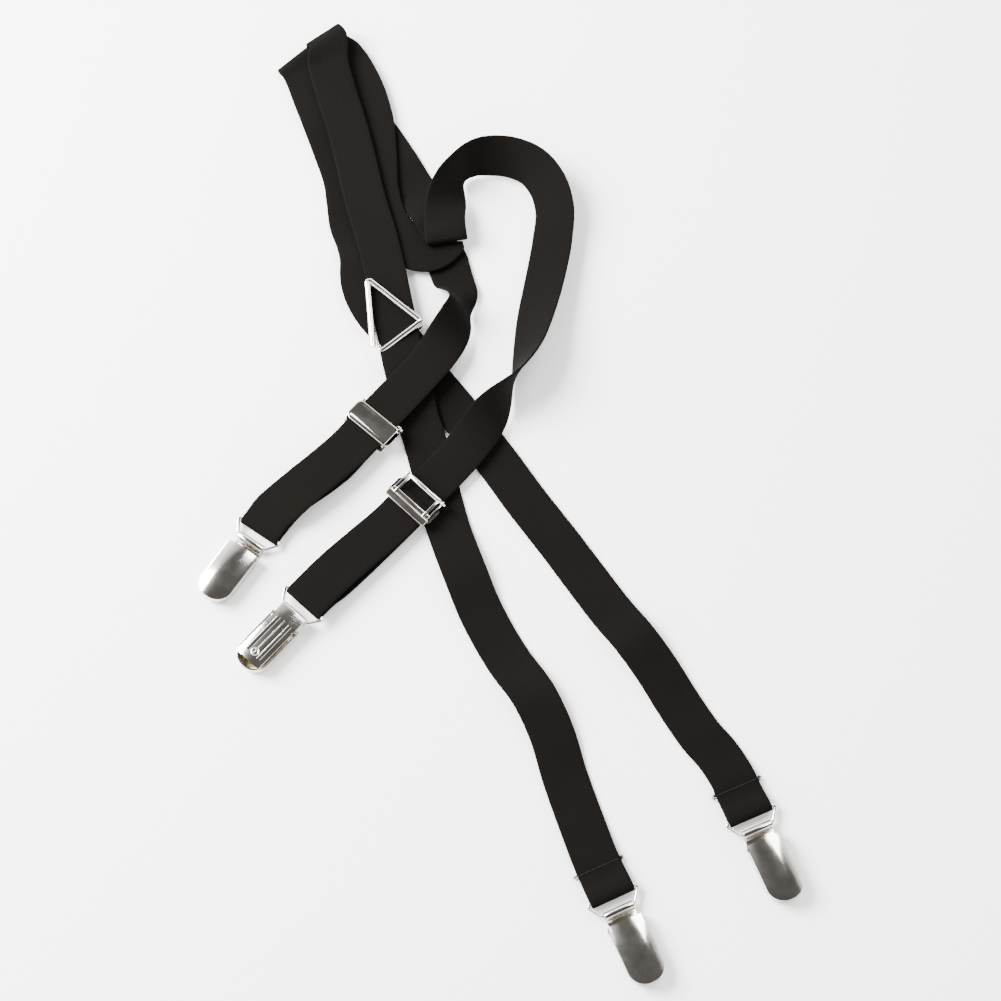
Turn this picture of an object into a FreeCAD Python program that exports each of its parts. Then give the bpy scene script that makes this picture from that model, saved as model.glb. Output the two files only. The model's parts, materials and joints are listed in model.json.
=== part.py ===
"""Clip-on X-back suspenders, folded up and laid on a table.

Two straps of 20 mm elastic webbing cross in a double-turn wire triangle. Each strap
starts in a sewn hem on a back clip and ends in a loop through a front clip's bail,
above which a hinged-lever adjuster sets the length.
Millimetres. The table is z = 0, +Z is up, +Y is along the folded bundle.
"""
import FreeCAD, Part
import math
import os
import re

doc = FreeCAD.newDocument("suspenders")
Vector = FreeCAD.Vector

# ---------------------------------------------------------------- driving sizes
sheet = doc.addObject("Spreadsheet::Sheet", "sizes")
CELLS = [
    ("shift_east", 3.96), ("shift_north", -17.77),
    ("web_width", 20.0), ("web_thick", 1.2), ("gap", 0.3),
    ("bail_wire", 1.6), ("bail_reach", 7.5), ("bail_low_half", 8.0), ("bail_top_half", 12.9),
    ("bail_low_bend", 1.6), ("bail_top_bend", 1.4), ("bail_height", 2.5),
    ("plate_wide", 13.4), ("plate_long", 29.0), ("plate_thick", 0.8),
    ("bead_wide", 1.6), ("bead_long", 17.0), ("bead_deep", 0.3), ("bead_off", 3.4),
    ("roll_outer", 2.0), ("roll_bore", 1.1),
    ("ear_thick", 0.7), ("ear_round", 1.2), ("pivot_back", 6.2), ("pivot_high", 3.8),
    ("pin_wire", 1.2), ("pin_half", 8.6), ("pin_hole", 1.8),
    ("lever_wide", 16.0), ("lever_near", 4.6), ("lever_far", 32.0), ("lever_top", 7.2),
    ("lever_low", 1.6), ("lever_skin", 0.8), ("lever_crown", 30.0),
    ("jaw_wide", 12.0), ("jaw_back", 10.2), ("jaw_thick", 0.8), ("jaw_low", 2.5), ("jaw_sink", 0.4),
    ("pad_wide", 10.8), ("pad_near", 13.0), ("pad_far", 28.0), ("pad_thick", 1.2),
    ("eyelet_back", 24.0), ("eyelet_tube", 3.2), ("eyelet_hole", 1.8), ("eyelet_flange", 4.4),
    ("flange_thick", 0.4), ("flip_height", 7.4),
    ("case_wide", 24.0), ("case_long", 10.6), ("case_skin", 0.8), ("case_top", 5.8),
    ("case_round", 1.6), ("wall_inner", 21.0), ("wall_low", 1.3), ("wall_near", 6.0),
    ("hinge_back", 6.8), ("hinge_high", 1.5), ("hinge_wire", 1.0), ("knuckle_outer", 2.6),
    ("knuckle_bore", 1.6), ("lock_arm", 9.5), ("lock_wide", 24.0), ("lock_low", 0.2),
    ("lock_thick", 0.8), ("lock_end", 7.4), ("lock_band", 6.0), ("lock_window", 16.0), ("lock_rail", 2.0),
    ("bar_near", 4.0), ("bar_wide", 2.5), ("bar_low", 1.25), ("bar_thick", 0.4),
    ("adjuster_lift", 2.6), ("adjuster_flip", 7.6),
    ("strap_level", 4.1), ("tail_level", 2.5),
    ("ring_wire", 2.6), ("ring_low", 1.4), ("ring_high", 7.2), ("ring_bend", 3.2),
    ("thread_wide", 0.5), ("thread_high", 0.2), ("thread_long", 1.7), ("thread_pitch", 2.5),
    ("stitch_ahead", 12.5),
]
for row, (alias, number) in enumerate(CELLS, start=1):
    sheet.set("A%d" % row, alias)
    sheet.set("B%d" % row, str(number))
    sheet.setAlias("B%d" % row, alias)
doc.recompute()
SIZE = {alias: float(sheet.get(alias)) for alias, number in CELLS}
SHIFT = Vector(SIZE["shift_east"], SIZE["shift_north"], 0)
nodes = []


# ---------------------------------------------------------------- small builders
def bound(thing, settings):
    """Bind each property of a document object to an expression on the sheet."""
    for name, text in settings.items():
        thing.setExpression(name, text)


def named(text):
    """Put the sheet's name before every alias in an expression."""
    return re.sub(r"[a-z_]+", lambda word: "sizes." + word.group() if word.group() in SIZE else word.group(),
                  text)


def box(name, length, width, height, corner):
    block = doc.addObject("Part::Box", name)
    bound(block, {"Length": named(length), "Width": named(width), "Height": named(height)})
    bound(block, {"Placement.Base." + axis: named(text) for axis, text in zip("xyz", corner)})
    return block


def rod(name, radius, length, start, along="x"):
    """A cylinder along +x, +y or +z from its start point."""
    cylinder = doc.addObject("Part::Cylinder", name)
    turns = {"x": (Vector(0, 1, 0), 90), "y": (Vector(1, 0, 0), -90), "z": (Vector(0, 0, 1), 0)}
    cylinder.Placement = FreeCAD.Placement(Vector(), FreeCAD.Rotation(*turns[along]))
    bound(cylinder, {"Radius": named(radius), "Height": named(length)})
    bound(cylinder, {"Placement.Base." + axis: named(text) for axis, text in zip("xyz", start)})
    return cylinder


def fuse(name, pieces):
    joined = doc.addObject("Part::MultiFuse", name)
    joined.Shapes = pieces
    joined.Refine = True
    return joined


def cut(name, base, tool):
    result = doc.addObject("Part::Cut", name)
    result.Base = base
    result.Tool = tool
    return result


def common(name, first, second):
    result = doc.addObject("Part::Common", name)
    result.Base = first
    result.Tool = second
    return result


def keep(thing, label, placement=None):
    """Give a finished sub-part its node name and its place."""
    thing.Label = label
    if placement is not None:
        thing.Placement = placement
    nodes.append(thing)
    return thing


def direction(azimuth):
    angle = math.radians(azimuth)
    return Vector(math.cos(angle), math.sin(angle), 0)


# ---------------------------------------------------------------- clips
def clip_place(bar, azimuth, flipped):
    """The clip's own frame: x across, y up the strap, z off the back plate."""
    back = direction(azimuth + 90) * -SIZE["bail_reach"]
    turn = FreeCAD.Rotation(Vector(0, 0, 1), azimuth)
    height = 0.0
    if flipped:
        turn = turn.multiply(FreeCAD.Rotation(Vector(0, 1, 0), 180))
        height = SIZE["flip_height"]
    return FreeCAD.Placement(Vector(bar[0], bar[1], height) + back + SHIFT, turn)


def make_bail(tag, label, place):
    """The wire loop: a bar in the clip's roll, two flared sides, a bar in the webbing."""
    low, top = SIZE["bail_low_half"], SIZE["bail_top_half"]
    reach, height = SIZE["bail_reach"], SIZE["bail_height"]
    corners = [Vector(-low, 0, height), Vector(low, 0, height),
               Vector(top, reach, height), Vector(-top, reach, height)]
    bends = [SIZE["bail_low_bend"], SIZE["bail_low_bend"], SIZE["bail_top_bend"], SIZE["bail_top_bend"]]
    body = doc.addObject("Part::Feature", tag + "_bail")
    body.Shape = wire_loop(corners, bends, SIZE["bail_wire"] / 2)
    keep(body, label + "_bail", place)


def wire_loop(corners, bends, radius):
    """Round wire bent round a flat closed loop of straight runs and arcs."""
    count = len(corners)
    edges = []
    entries = []
    exits = []
    for index, corner in enumerate(corners):
        before = (corners[index - 1] - corner).normalize()
        after = (corners[(index + 1) % count] - corner).normalize()
        half = before.getAngle(after) / 2
        setback = bends[index] / math.tan(half)
        middle = corner + (before + after).normalize() * (bends[index] / math.sin(half) - bends[index])
        entries.append(corner + before * setback)
        exits.append(corner + after * setback)
        edges.append(Part.Arc(entries[-1], middle, exits[-1]).toShape())
    for index in range(count):
        edges.append(Part.LineSegment(exits[index], entries[(index + 1) % count]).toShape())
    path = Part.Wire(Part.__sortEdges__(edges))
    heading = (entries[1] - exits[0]).normalize()
    profile = Part.Wire(Part.Circle(exits[0], heading, radius).toShape())
    return path.makePipeShell([profile], True, True)


def make_back_plate(tag, label, place):
    plate = box(tag + "_plate", "plate_wide", "plate_long", "plate_thick",
                ("-plate_wide / 2", "-plate_long", "0"))
    roll = rod(tag + "_roll", "roll_outer", "plate_wide", ("-plate_wide / 2", "0", "bail_height"))
    pieces = [plate, roll]
    for side, corner in (("left", "-plate_wide / 2"), ("right", "plate_wide / 2 - ear_thick")):
        pieces.append(box(tag + "_stem_" + side, "ear_thick", "2 * ear_round", "pivot_high",
                          (corner, "-pivot_back - ear_round", "0")))
        pieces.append(rod(tag + "_ear_" + side, "ear_round", "ear_thick",
                          (corner, "-pivot_back", "pivot_high")))
    solid = fuse(tag + "_plate_solid", pieces)
    tools = [rod(tag + "_bore", "roll_bore", "2 * plate_wide", ("-plate_wide", "0", "bail_height")),
             rod(tag + "_pin_bore", "pin_wire / 2", "2 * plate_wide",
                 ("-plate_wide", "-pivot_back", "pivot_high")),
             rod(tag + "_rivet_bore", "eyelet_tube / 2", "plate_long", ("0", "-eyelet_back", "0"), "z"),
             rod(tag + "_rivet_seat", "eyelet_flange / 2", "flange_thick", ("0", "-eyelet_back", "0"), "z")]
    for side, middle in (("left", "-bead_off"), ("right", "bead_off")):
        tools.append(box(tag + "_bead_" + side, "bead_wide", "bead_long", "bead_deep",
                         (middle + " - bead_wide / 2", "-bead_long - 2 * roll_outer", "0")))
    keep(cut(tag + "_back_plate", solid, fuse(tag + "_plate_tools", tools)), label + "_back_plate", place)


def make_lever(tag, label, place):
    """The domed front lever: a crowned shell, rounded at its tip, hinged on its side walls."""
    shells = []
    for name, skin in (("outer", "0"), ("inner", "lever_skin")):
        half = "lever_wide / 2 - %s" % skin
        near = "0" if name == "inner" else "-lever_near"
        block = box(tag + "_lever_box_" + name, "lever_wide - 2 * %s" % skin,
                    "lever_far - lever_wide / 2 + ( %s )" % near, "lever_top",
                    ("-( %s )" % half, "-lever_far + lever_wide / 2", "lever_low"))
        tip = rod(tag + "_lever_tip_" + name, half, "lever_top",
                  ("0", "-lever_far + lever_wide / 2", "lever_low"), "z")
        crown = rod(tag + "_lever_crown_" + name, "lever_crown - %s" % skin, "2 * lever_far",
                    ("0", "-3 / 2 * lever_far", "lever_top - lever_crown"), "y")
        plan = fuse(tag + "_lever_plan_" + name, [block, tip])
        shells.append(common(tag + "_lever_solid_" + name, plan, crown))
    shell = cut(tag + "_lever_shell", shells[0], shells[1])
    jaw = box(tag + "_jaw", "jaw_wide", "jaw_thick", "lever_top - jaw_low - lever_skin / 2 - jaw_sink",
              ("-jaw_wide / 2", "-jaw_back - jaw_thick", "jaw_low"))
    hole = rod(tag + "_lever_bore", "pin_hole / 2", "2 * lever_wide",
               ("-lever_wide", "-pivot_back", "pivot_high"))
    keep(cut(tag + "_lever", fuse(tag + "_lever_joined", [shell, jaw]), hole), label + "_lever", place)


def make_clip_small_parts(tag, label, place):
    keep(rod(tag + "_pin", "pin_wire / 2", "2 * pin_half", ("-pin_half", "-pivot_back", "pivot_high")),
         label + "_hinge_pin")
    pin = nodes[-1]
    home = FreeCAD.Placement(Vector(-SIZE["pin_half"], -SIZE["pivot_back"], SIZE["pivot_high"]),
                             FreeCAD.Rotation(Vector(0, 1, 0), 90))
    for axis in "xyz":
        pin.setExpression("Placement.Base." + axis, None)
    pin.Placement = place.multiply(home)
    pad = box(tag + "_pad_block", "pad_wide", "pad_far - pad_near", "pad_thick",
              ("-pad_wide / 2", "-pad_far", "plate_thick"))
    bore = rod(tag + "_pad_bore", "eyelet_tube / 2", "2 * pad_thick + plate_thick",
               ("0", "-eyelet_back", "0"), "z")
    keep(cut(tag + "_pad", pad, bore), label + "_grip_pad", place)
    tube = rod(tag + "_tube", "eyelet_tube / 2", "plate_thick + pad_thick", ("0", "-eyelet_back", "0"), "z")
    foot = rod(tag + "_foot", "eyelet_flange / 2", "flange_thick", ("0", "-eyelet_back", "0"), "z")
    head = rod(tag + "_head", "eyelet_flange / 2", "flange_thick",
               ("0", "-eyelet_back", "plate_thick + pad_thick"), "z")
    hole = rod(tag + "_eyelet_bore", "eyelet_hole / 2", "plate_long", ("0", "-eyelet_back", "0"), "z")
    eyelet = cut(tag + "_eyelet", fuse(tag + "_eyelet_solid", [tube, foot, head]), hole)
    keep(eyelet, label + "_eyelet", place)


CLIPS = {
    "left_front": ((-109.0, -15.0), -34.0, False),
    "right_front": ((-87.0, -50.0), -42.0, True),
    "left_back": ((47.0, -178.0), 24.0, False),
    "right_back": ((107.0, -144.0), 23.0, False),
}


# ---------------------------------------------------------------- adjusters
def make_adjuster(tag, label, place):
    """A case that hides the strap, and a windowed lever that locks it from behind."""
    top = box(tag + "_top", "case_wide", "case_long", "case_skin",
              ("-case_wide / 2", "-case_long / 2", "case_top - case_skin"))
    rounded = doc.addObject("Part::Fillet", tag + "_top_round")
    rounded.Base = top
    doc.recompute()
    upright = [(number, SIZE["case_round"], SIZE["case_round"])
               for number, edge in enumerate(top.Shape.Edges, start=1)
               if abs(edge.tangentAt(edge.FirstParameter).z) > 0.9]
    rounded.Edges = upright
    pieces = [rounded]
    for side, corner in (("left", "-wall_inner / 2 - case_skin"), ("right", "wall_inner / 2")):
        pieces.append(box(tag + "_wall_" + side, "case_skin", "wall_near + hinge_back",
                          "case_top - wall_low - case_skin / 2", (corner, "-wall_near", "wall_low")))
        pieces.append(rod(tag + "_lug_" + side, "knuckle_outer / 2", "case_skin",
                          (corner, "hinge_back", "hinge_high")))
    pieces.append(box(tag + "_bar", "wall_inner + case_skin", "bar_wide", "bar_thick",
                      ("-( wall_inner + case_skin ) / 2", "-bar_near", "bar_low")))
    bore = rod(tag + "_case_bore", "hinge_wire / 2", "2 * case_wide",
               ("-case_wide", "hinge_back", "hinge_high"))
    keep(cut(tag + "_case", fuse(tag + "_case_solid", pieces), bore), label + "_adjuster_case", place)

    arm = box(tag + "_arm", "2 * lock_arm", "hinge_back + lock_end", "lock_thick",
              ("-lock_arm", "-lock_end", "lock_low"))
    band = box(tag + "_band", "lock_wide", "lock_band", "lock_thick",
               ("-lock_wide / 2", "-lock_end", "lock_low"))
    knuckle = rod(tag + "_knuckle", "knuckle_outer / 2", "2 * lock_arm",
                  ("-lock_arm", "hinge_back", "hinge_high"))
    window = box(tag + "_window", "lock_window", "hinge_back + lock_end - lock_band - lock_rail",
                 "2 * knuckle_outer", ("-lock_window / 2", "-lock_end + lock_band", "-knuckle_outer"))
    hole = rod(tag + "_lock_bore", "knuckle_bore / 2", "2 * case_wide",
               ("-case_wide", "hinge_back", "hinge_high"))
    body = fuse(tag + "_lock_solid", [arm, band, knuckle])
    lock = cut(tag + "_lock", body, fuse(tag + "_lock_tools", [window, hole]))
    keep(lock, label + "_adjuster_lever", place)

    pin = rod(tag + "_hinge", "hinge_wire / 2", "case_wide + case_skin", ("0", "0", "0"))
    for axis in "xyz":
        pin.setExpression("Placement.Base." + axis, None)
    home = FreeCAD.Placement(Vector(-(SIZE["case_wide"] + SIZE["case_skin"]) / 2, SIZE["hinge_back"],
                                    SIZE["hinge_high"]), FreeCAD.Rotation(Vector(0, 1, 0), 90))
    keep(pin, label + "_adjuster_pin", place.multiply(home))


def adjuster_place(centre, azimuth, flipped):
    turn = FreeCAD.Rotation(Vector(0, 0, 1), azimuth)
    height = SIZE["adjuster_lift"]
    if flipped:
        turn = turn.multiply(FreeCAD.Rotation(Vector(0, 1, 0), 180))
        height = SIZE["adjuster_flip"]
    return FreeCAD.Placement(Vector(centre[0], centre[1], height) + SHIFT, turn)


ADJUSTERS = {
    "left": ((-59.3, 35.6), -41.0, False),
    "right": ((-39.0, -1.5), -43.0, True),
}


# ---------------------------------------------------------------- back ring
RING_CORNERS = [(-58.5, 67.5), (-68.5, 118.0), (-32.5, 87.5)]


def make_ring():
    """One wire bent twice round a triangle, like a key ring: the straps pass between the turns."""
    radius = SIZE["ring_wire"] / 2
    bend = SIZE["ring_bend"]
    turns = []
    for height in (SIZE["ring_low"], SIZE["ring_high"]):
        corners = [Vector(x, y, height) + SHIFT for x, y in RING_CORNERS]
        turns.append(wire_loop(corners, [bend, bend, bend], radius))
    corner = Vector(RING_CORNERS[0][0], RING_CORNERS[0][1], 0) + SHIFT
    inward = (Vector(RING_CORNERS[1][0], RING_CORNERS[1][1], 0)
              + Vector(RING_CORNERS[2][0], RING_CORNERS[2][1], 0)) * 0.5 + SHIFT - corner
    link = corner + inward.normalize() * bend
    rise = SIZE["ring_high"] - SIZE["ring_low"]
    post = Part.makeCylinder(radius, rise, Vector(link.x, link.y, SIZE["ring_low"]))
    ring = doc.addObject("Part::Feature", "ring")
    ring.Shape = turns[0].fuse([turns[1], post]).removeSplitter()
    keep(ring, "back_ring")


# ---------------------------------------------------------------- straps
def beside(bar, azimuth, distance, height, lean=0):
    """A route point at a distance ahead of a bar, where the strap runs square to it."""
    place = Vector(bar[0], bar[1], 0) + direction(azimuth + 90) * distance
    return (place.x, place.y, height, azimuth, lean)


BAIL_TURN = SIZE["bail_wire"] / 2 + SIZE["gap"] + SIZE["web_thick"] / 2
HEM_STEPS = (15, 10, 5)
OVER_STEPS = ((3, 3.9), (6.5, 2.7), (10, 2.15), (16, 2.15))
THROUGH_STEPS = (16, 11, -10, -15)
TAIL_STEPS = (-14, -9, -4, 1)
LOW = 0.8
HEM_HIGH = 2.15
BAR_HIGH = SIZE["bail_height"]
HEM_LEFT = CLIPS["left_back"]
HEM_RIGHT = CLIPS["right_back"]


def hem(clip):
    """The sewn end: 15 mm folded under, round the bail's bar, and out on top."""
    bar, azimuth, flipped = clip
    under = [beside(bar, azimuth, distance, LOW) for distance in HEM_STEPS]
    turn = [beside(bar, azimuth, 0, LOW)]
    for angle in (-60, -30, 0, 30, 60, 90):
        ahead = -BAIL_TURN * math.cos(math.radians(angle))
        turn.append(beside(bar, azimuth, ahead, BAR_HIGH + BAIL_TURN * math.sin(math.radians(angle))))
    over = [beside(bar, azimuth, distance, height) for distance, height in OVER_STEPS]
    return under + turn, over


def front_loop(clip, centre, square, main, tail, outward, inward, first):
    """Through the adjuster, down to the front bail, round it, and back to the adjuster.

    The strap's side azimuths here are half a turn on from the clip's own.
    """
    bar, azimuth, flipped = clip
    side = azimuth + 180
    heights = {False: BAR_HIGH, True: SIZE["flip_height"] - BAR_HIGH}
    middle = heights[flipped]
    sign = 1 if first == "top" else -1
    lean = 0 if not flipped else -180
    through = [beside(centre, square, -distance, main, lean) for distance in THROUGH_STEPS]
    down = list(outward)
    for distance, rise in ((7.5, 1.25), (3.0, 1.0)):
        down.append(beside(bar, side, -distance, middle + sign * BAIL_TURN * rise, lean))
    turn = []
    for angle in (90, 60, 30, 0, -30, -60, -90):
        height = middle + sign * BAIL_TURN * math.sin(math.radians(angle))
        turn.append(beside(bar, side, BAIL_TURN * math.cos(math.radians(angle)), height, lean))
    back = [beside(bar, side, -distance, middle - sign * BAIL_TURN, lean) for distance in (3.0, 7.5)]
    back += list(inward)
    end = [beside(centre, square, -distance, tail, lean) for distance in TAIL_STEPS]
    return through, down, turn, back, end


def fold(centre, low, high, heading, side, falling=True):
    """A fold between two layers, bulging towards a heading, with its crease along side."""
    radius = (high - low) / 2
    points = []
    for angle in (90, 45, 0, -45, -90):
        swing = angle if falling else -angle
        ahead = direction(heading) * (radius * math.cos(math.radians(swing)))
        height = (high + low) / 2 + radius * math.sin(math.radians(swing))
        points.append((centre[0] + ahead.x, centre[1] + ahead.y, height, side, 0))
    return points


MAIN_LEFT = SIZE["adjuster_lift"] + SIZE["strap_level"]
TAIL_LEFT = SIZE["adjuster_lift"] + SIZE["tail_level"]
MAIN_RIGHT = SIZE["adjuster_flip"] - SIZE["strap_level"]
TAIL_RIGHT = SIZE["adjuster_flip"] - SIZE["tail_level"]


def left_strap():
    under, over = hem(HEM_LEFT)
    back_run = [(36, -151, 1.1, 21, 0), (28, -128, 0.9, 19, 0), (22, -108, 2.6, 20, 0), (15, -93, 4.2, 23, 0),
                (3, -75, 1.0, 29, 0), (-9, -53, 1.6, 28, 0), (-15.5, -37, 3.4, 24, 0), (-24, -13, 1.0, 16, 0),
                (-31, 14, 1.0, 9, 0), (-36.3, 33, 1.6, 10, 3.5)]
    crossing = [(-38.9, 41, 2.5, 12, 3), (-40.6, 49, 3.5, 12, 1), (-43, 58, 4.6, 12, 0),
                (-45.3, 67, 5, 12, 0), (-48, 80, 5, 12, 0), (-50.5, 92, 5, 12, 0), (-53, 104, 5, 12, 0),
                (-55.5, 116, 5, 12, 0)]
    rising = [(-59, 131, 5.1, 14, 0), (-66, 155, 5.2, 17, 0), (-71.5, 178, 5.4, 17, 0),
              (-76.5, 197, 5.8, 15, 0), (-81.5, 213, 6.6, 15, 0), (-86, 230, 8.0, 22, 0)]
    upper_fold = fold((-88.0, 244.3), 4.7, 9.8, 128, 38)
    falling = [(-79, 237, 3.9, 30, 0), (-71, 224, 3.5, 18, 0), (-63.5, 202, 3.0, 14, 0),
               (-61, 180, 2.9, 3, 0),
               (-59, 157, 2.9, 2, 0), (-54, 142, 3.2, 18, 0), (-46, 131.5, 3.4, 42, 0),
               (-39.6, 125.8, 3.4, 74, 0), (-33.8, 125.8, 3.4, 118, 0), (-29.8, 128.2, 3.4, 152, 0)]
    corner = fold((-28.0, 130.8), 1.1, 3.3, 90, 180)
    front = [(-25.5, 122, 1.2, 179, 0), (-23, 112.5, 1.4, 177, 0), (-20.8, 105, 4.2, 174, 11),
             (-19.5, 100, 8.2, 170, 40), (-19, 95, 9.9, 164, 60), (-21, 87, 9.4, 158, 42),
             (-26.5, 76, 7.9, 149, 12), (-34.5, 64.5, 7.1, 142, 0), (-42.5, 55, 6.8, 139, 0)]
    outward = [(-80, 13.5, 7.4, 141, 0), (-91, 3.5, 7.6, 143, 0), (-99, -3.5, 6.6, 145, 0)]
    inward = [(-95, 2.5, 0.9, 144, 0), (-83.5, 11.5, 1.4, 141, 0), (-75, 18, 3.6, 139.5, 0)]
    through, down, turn, back, end = front_loop(CLIPS["left_front"], ADJUSTERS["left"][0], 139, MAIN_LEFT,
                                                TAIL_LEFT, outward, inward, "top")
    return [("hem", under), ("back_run", over + back_run), ("crossing", crossing), ("rising_run", rising),
            ("upper_fold", upper_fold), ("falling_run", falling), ("corner_fold", corner),
            ("front_run", front),
            ("adjuster_run", through), ("front_leg", down), ("bail_loop", turn), ("return_leg", back),
            ("tail_end", end)]


def right_strap():
    under, over = hem(HEM_RIGHT)
    back_run = [(95, -119, 0.9, 27, 0), (87, -109, 0.8, 30, 0), (78, -95, 0.9, 31, 0), (69, -80, 2.2, 32, 0),
                (59, -66, 4.2, 33, 0), (50, -54, 1.6, 35, 0), (38, -37, 0.8, 37, 0), (26, -20, 0.8, 37, 0),
                (12, -1, 0.8, 38, 0), (-1, 18, 0.8, 39, 0)]
    crossing = [(-12, 33.2, 0.8, 40, 0), (-22.8, 47.4, 0.8, 41, 0), (-33, 60, 2.0, 41, 0), (-38.4, 67.4, 3.3, 40, 0),
                (-43, 73.8, 3.6, 39, 0), (-51, 83.8, 3.6, 38, 0), (-58.4, 92.4, 3.6, 32, 0), (-64, 102, 3.6, 20, 0),
                (-66.5, 110, 3.6, 9, 0), (-67.5, 124, 3.6, 7, 0)]
    rising = [(-69.8, 133, 1.6, 10, 0), (-73, 142, 0.9, 14, 0), (-75, 155, 0.9, 12, 0), (-77, 167, 0.9, 16, 0),
              (-82, 182, 1.4, 20, 0), (-88, 198, 2.4, 21, 0), (-94, 214, 2.5, 22, 0), (-100, 229, 2.5, 34, 0)]
    upper_fold = fold((-104.0, 235.0), 1.0, 2.8, 134, 44)
    falling = [(-98, 231, 1.05, 50, 0), (-88, 224, 1.05, 53, 0), (-77, 214.5, 1.0, 50, 0),
               (-69, 206, 0.9, 42, 0), (-61.5, 195, 0.9, 33, 0), (-51, 178, 1.0, 30, 0),
               (-39.5, 160, 1.0, 27, 0), (-31.2, 146.5, 4.9, 20, 0)]
    lobe = fold((-26.0, 131.8), 5.2, 8.0, -80, 10, False)
    loop = [(-27, 142, 7.8, 8, 0), (-26.5, 150, 7.4, 2, -12), (-25, 159, 8.8, -8, -40),
            (-21, 167.5, 10.6, -30, -68), (-14, 173, 10.6, -62, -62), (-5, 175.5, 9.6, -80, -45),
            (5, 175, 9, -95, -38), (15, 170.5, 8.8, -122, -35), (22.5, 161, 8.0, -148, -30),
            (26, 149, 7.0, -169, -24)]
    twist = [(25, 132, 5.6, -184, -16), (21.5, 112, 6.0, -190, -18), (17, 92, 7.2, -192, -28),
             (11, 68, 9.8, -197, -58), (5.3, 54, 10.8, -208, -90), (0, 45.5, 10.6, -213, -120),
             (-6, 37.5, 8.2, -218, -150), (-13, 28, 5.2, -222, -172)]
    outward = [(-58, -21, 1.8, 137, -180), (-68, -31, 1.0, 137, -180), (-76, -39, 1.5, 137, -180)]
    inward = [(-73, -35, 6.6, 137, -180), (-62, -24.5, 5.8, 137, -180)]
    stretches = front_loop(CLIPS["right_front"], ADJUSTERS["right"][0], 137, MAIN_RIGHT, TAIL_RIGHT,
                           outward, inward, "bottom")
    through, down, turn, back, end = [[(x, y, z, side - 360, lean) for x, y, z, side, lean in stretch]
                                      for stretch in stretches]
    return [("hem", under), ("back_run", over + back_run), ("crossing", crossing), ("rising_run", rising),
            ("upper_fold", upper_fold), ("falling_run", falling), ("lobe_fold", lobe), ("loop", loop),
            ("twist", twist), ("adjuster_run", through), ("front_leg", down), ("bail_loop", turn),
            ("return_leg", back), ("tail_end", end)]


def ribbon_sections(points, steps):
    """Cubic spans through the route, each cut into equal steps: centre, side and height vectors."""
    rows = [list(point) for point in points]
    gaps = [max(math.dist(rows[i][:3], rows[i + 1][:3]), 0.1) for i in range(len(rows) - 1)]
    slopes = []
    for i in range(len(rows)):
        if i == 0:
            slopes.append([(b - a) / gaps[0] for a, b in zip(rows[0], rows[1])])
        elif i == len(rows) - 1:
            slopes.append([(b - a) / gaps[-1] for a, b in zip(rows[-2], rows[-1])])
        else:
            near, far = gaps[i - 1], gaps[i]
            slopes.append([((c - b) / far * near + (b - a) / near * far) / (near + far)
                           for a, b, c in zip(rows[i - 1], rows[i], rows[i + 1])])
    sections = []
    for i in range(len(rows) - 1):
        count = steps if gaps[i] > 4 else 1
        for step in range(count + (i == len(rows) - 2)):
            sections.append((i, section_at(rows, slopes, gaps, i, step / count)))
    return sections


def section_at(rows, slopes, gaps, i, u):
    """Position and frame on one cubic span, at the share u of its length."""
    span = gaps[i]
    value = []
    slope = []
    for a, b, start, end in zip(rows[i], rows[i + 1], slopes[i], slopes[i + 1]):
        value.append((2 * u ** 3 - 3 * u ** 2 + 1) * a + (u ** 3 - 2 * u ** 2 + u) * span * start
                     + (3 * u ** 2 - 2 * u ** 3) * b + (u ** 3 - u ** 2) * span * end)
        slope.append((6 * u ** 2 - 6 * u) * (a - b) / span + (3 * u ** 2 - 4 * u + 1) * start
                     + (3 * u ** 2 - 2 * u) * end)
    along = Vector(*slope[:3]).normalize()
    lean = math.radians(value[4])
    side = direction(value[3]) * math.cos(lean) + Vector(0, 0, math.sin(lean))
    up = along.cross(side)
    side = side * (1 / max(up.Length, 0.7))
    return Vector(*value[:3]) + SHIFT, side, up.normalize()


def make_strap(label, runs):
    """Cut the strap into its named runs, which meet face to face."""
    points = []
    owners = []
    for name, stretch in runs:
        points += stretch
        owners += [name] * len(stretch)
    sections = ribbon_sections(points, 2)
    half = SIZE["web_width"] / 2
    rise = SIZE["web_thick"] / 2
    length = 0
    for (i, first), (j, second) in zip(sections, sections[1:]):
        length += (second[0] - first[0]).Length
    print(label, "strap length", round(length))
    for name, stretch in runs:
        picked = [number for number, (i, frame) in enumerate(sections) if owners[i] == name]
        last = min(picked[-1] + 1, len(sections) - 1)
        wires = []
        for number in range(picked[0], last + 1):
            centre, side, up = sections[number][1]
            corners = [centre + side * (half * a) + up * (rise * b)
                       for a, b in ((-1, -1), (1, -1), (1, 1), (-1, 1))]
            wires.append(Part.makePolygon(corners + corners[:1]))
        piece = doc.addObject("Part::Feature", label + "_" + name)
        piece.Shape = Part.makeLoft(wires, True, True)
        keep(piece, label + "_strap_" + name)


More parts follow.
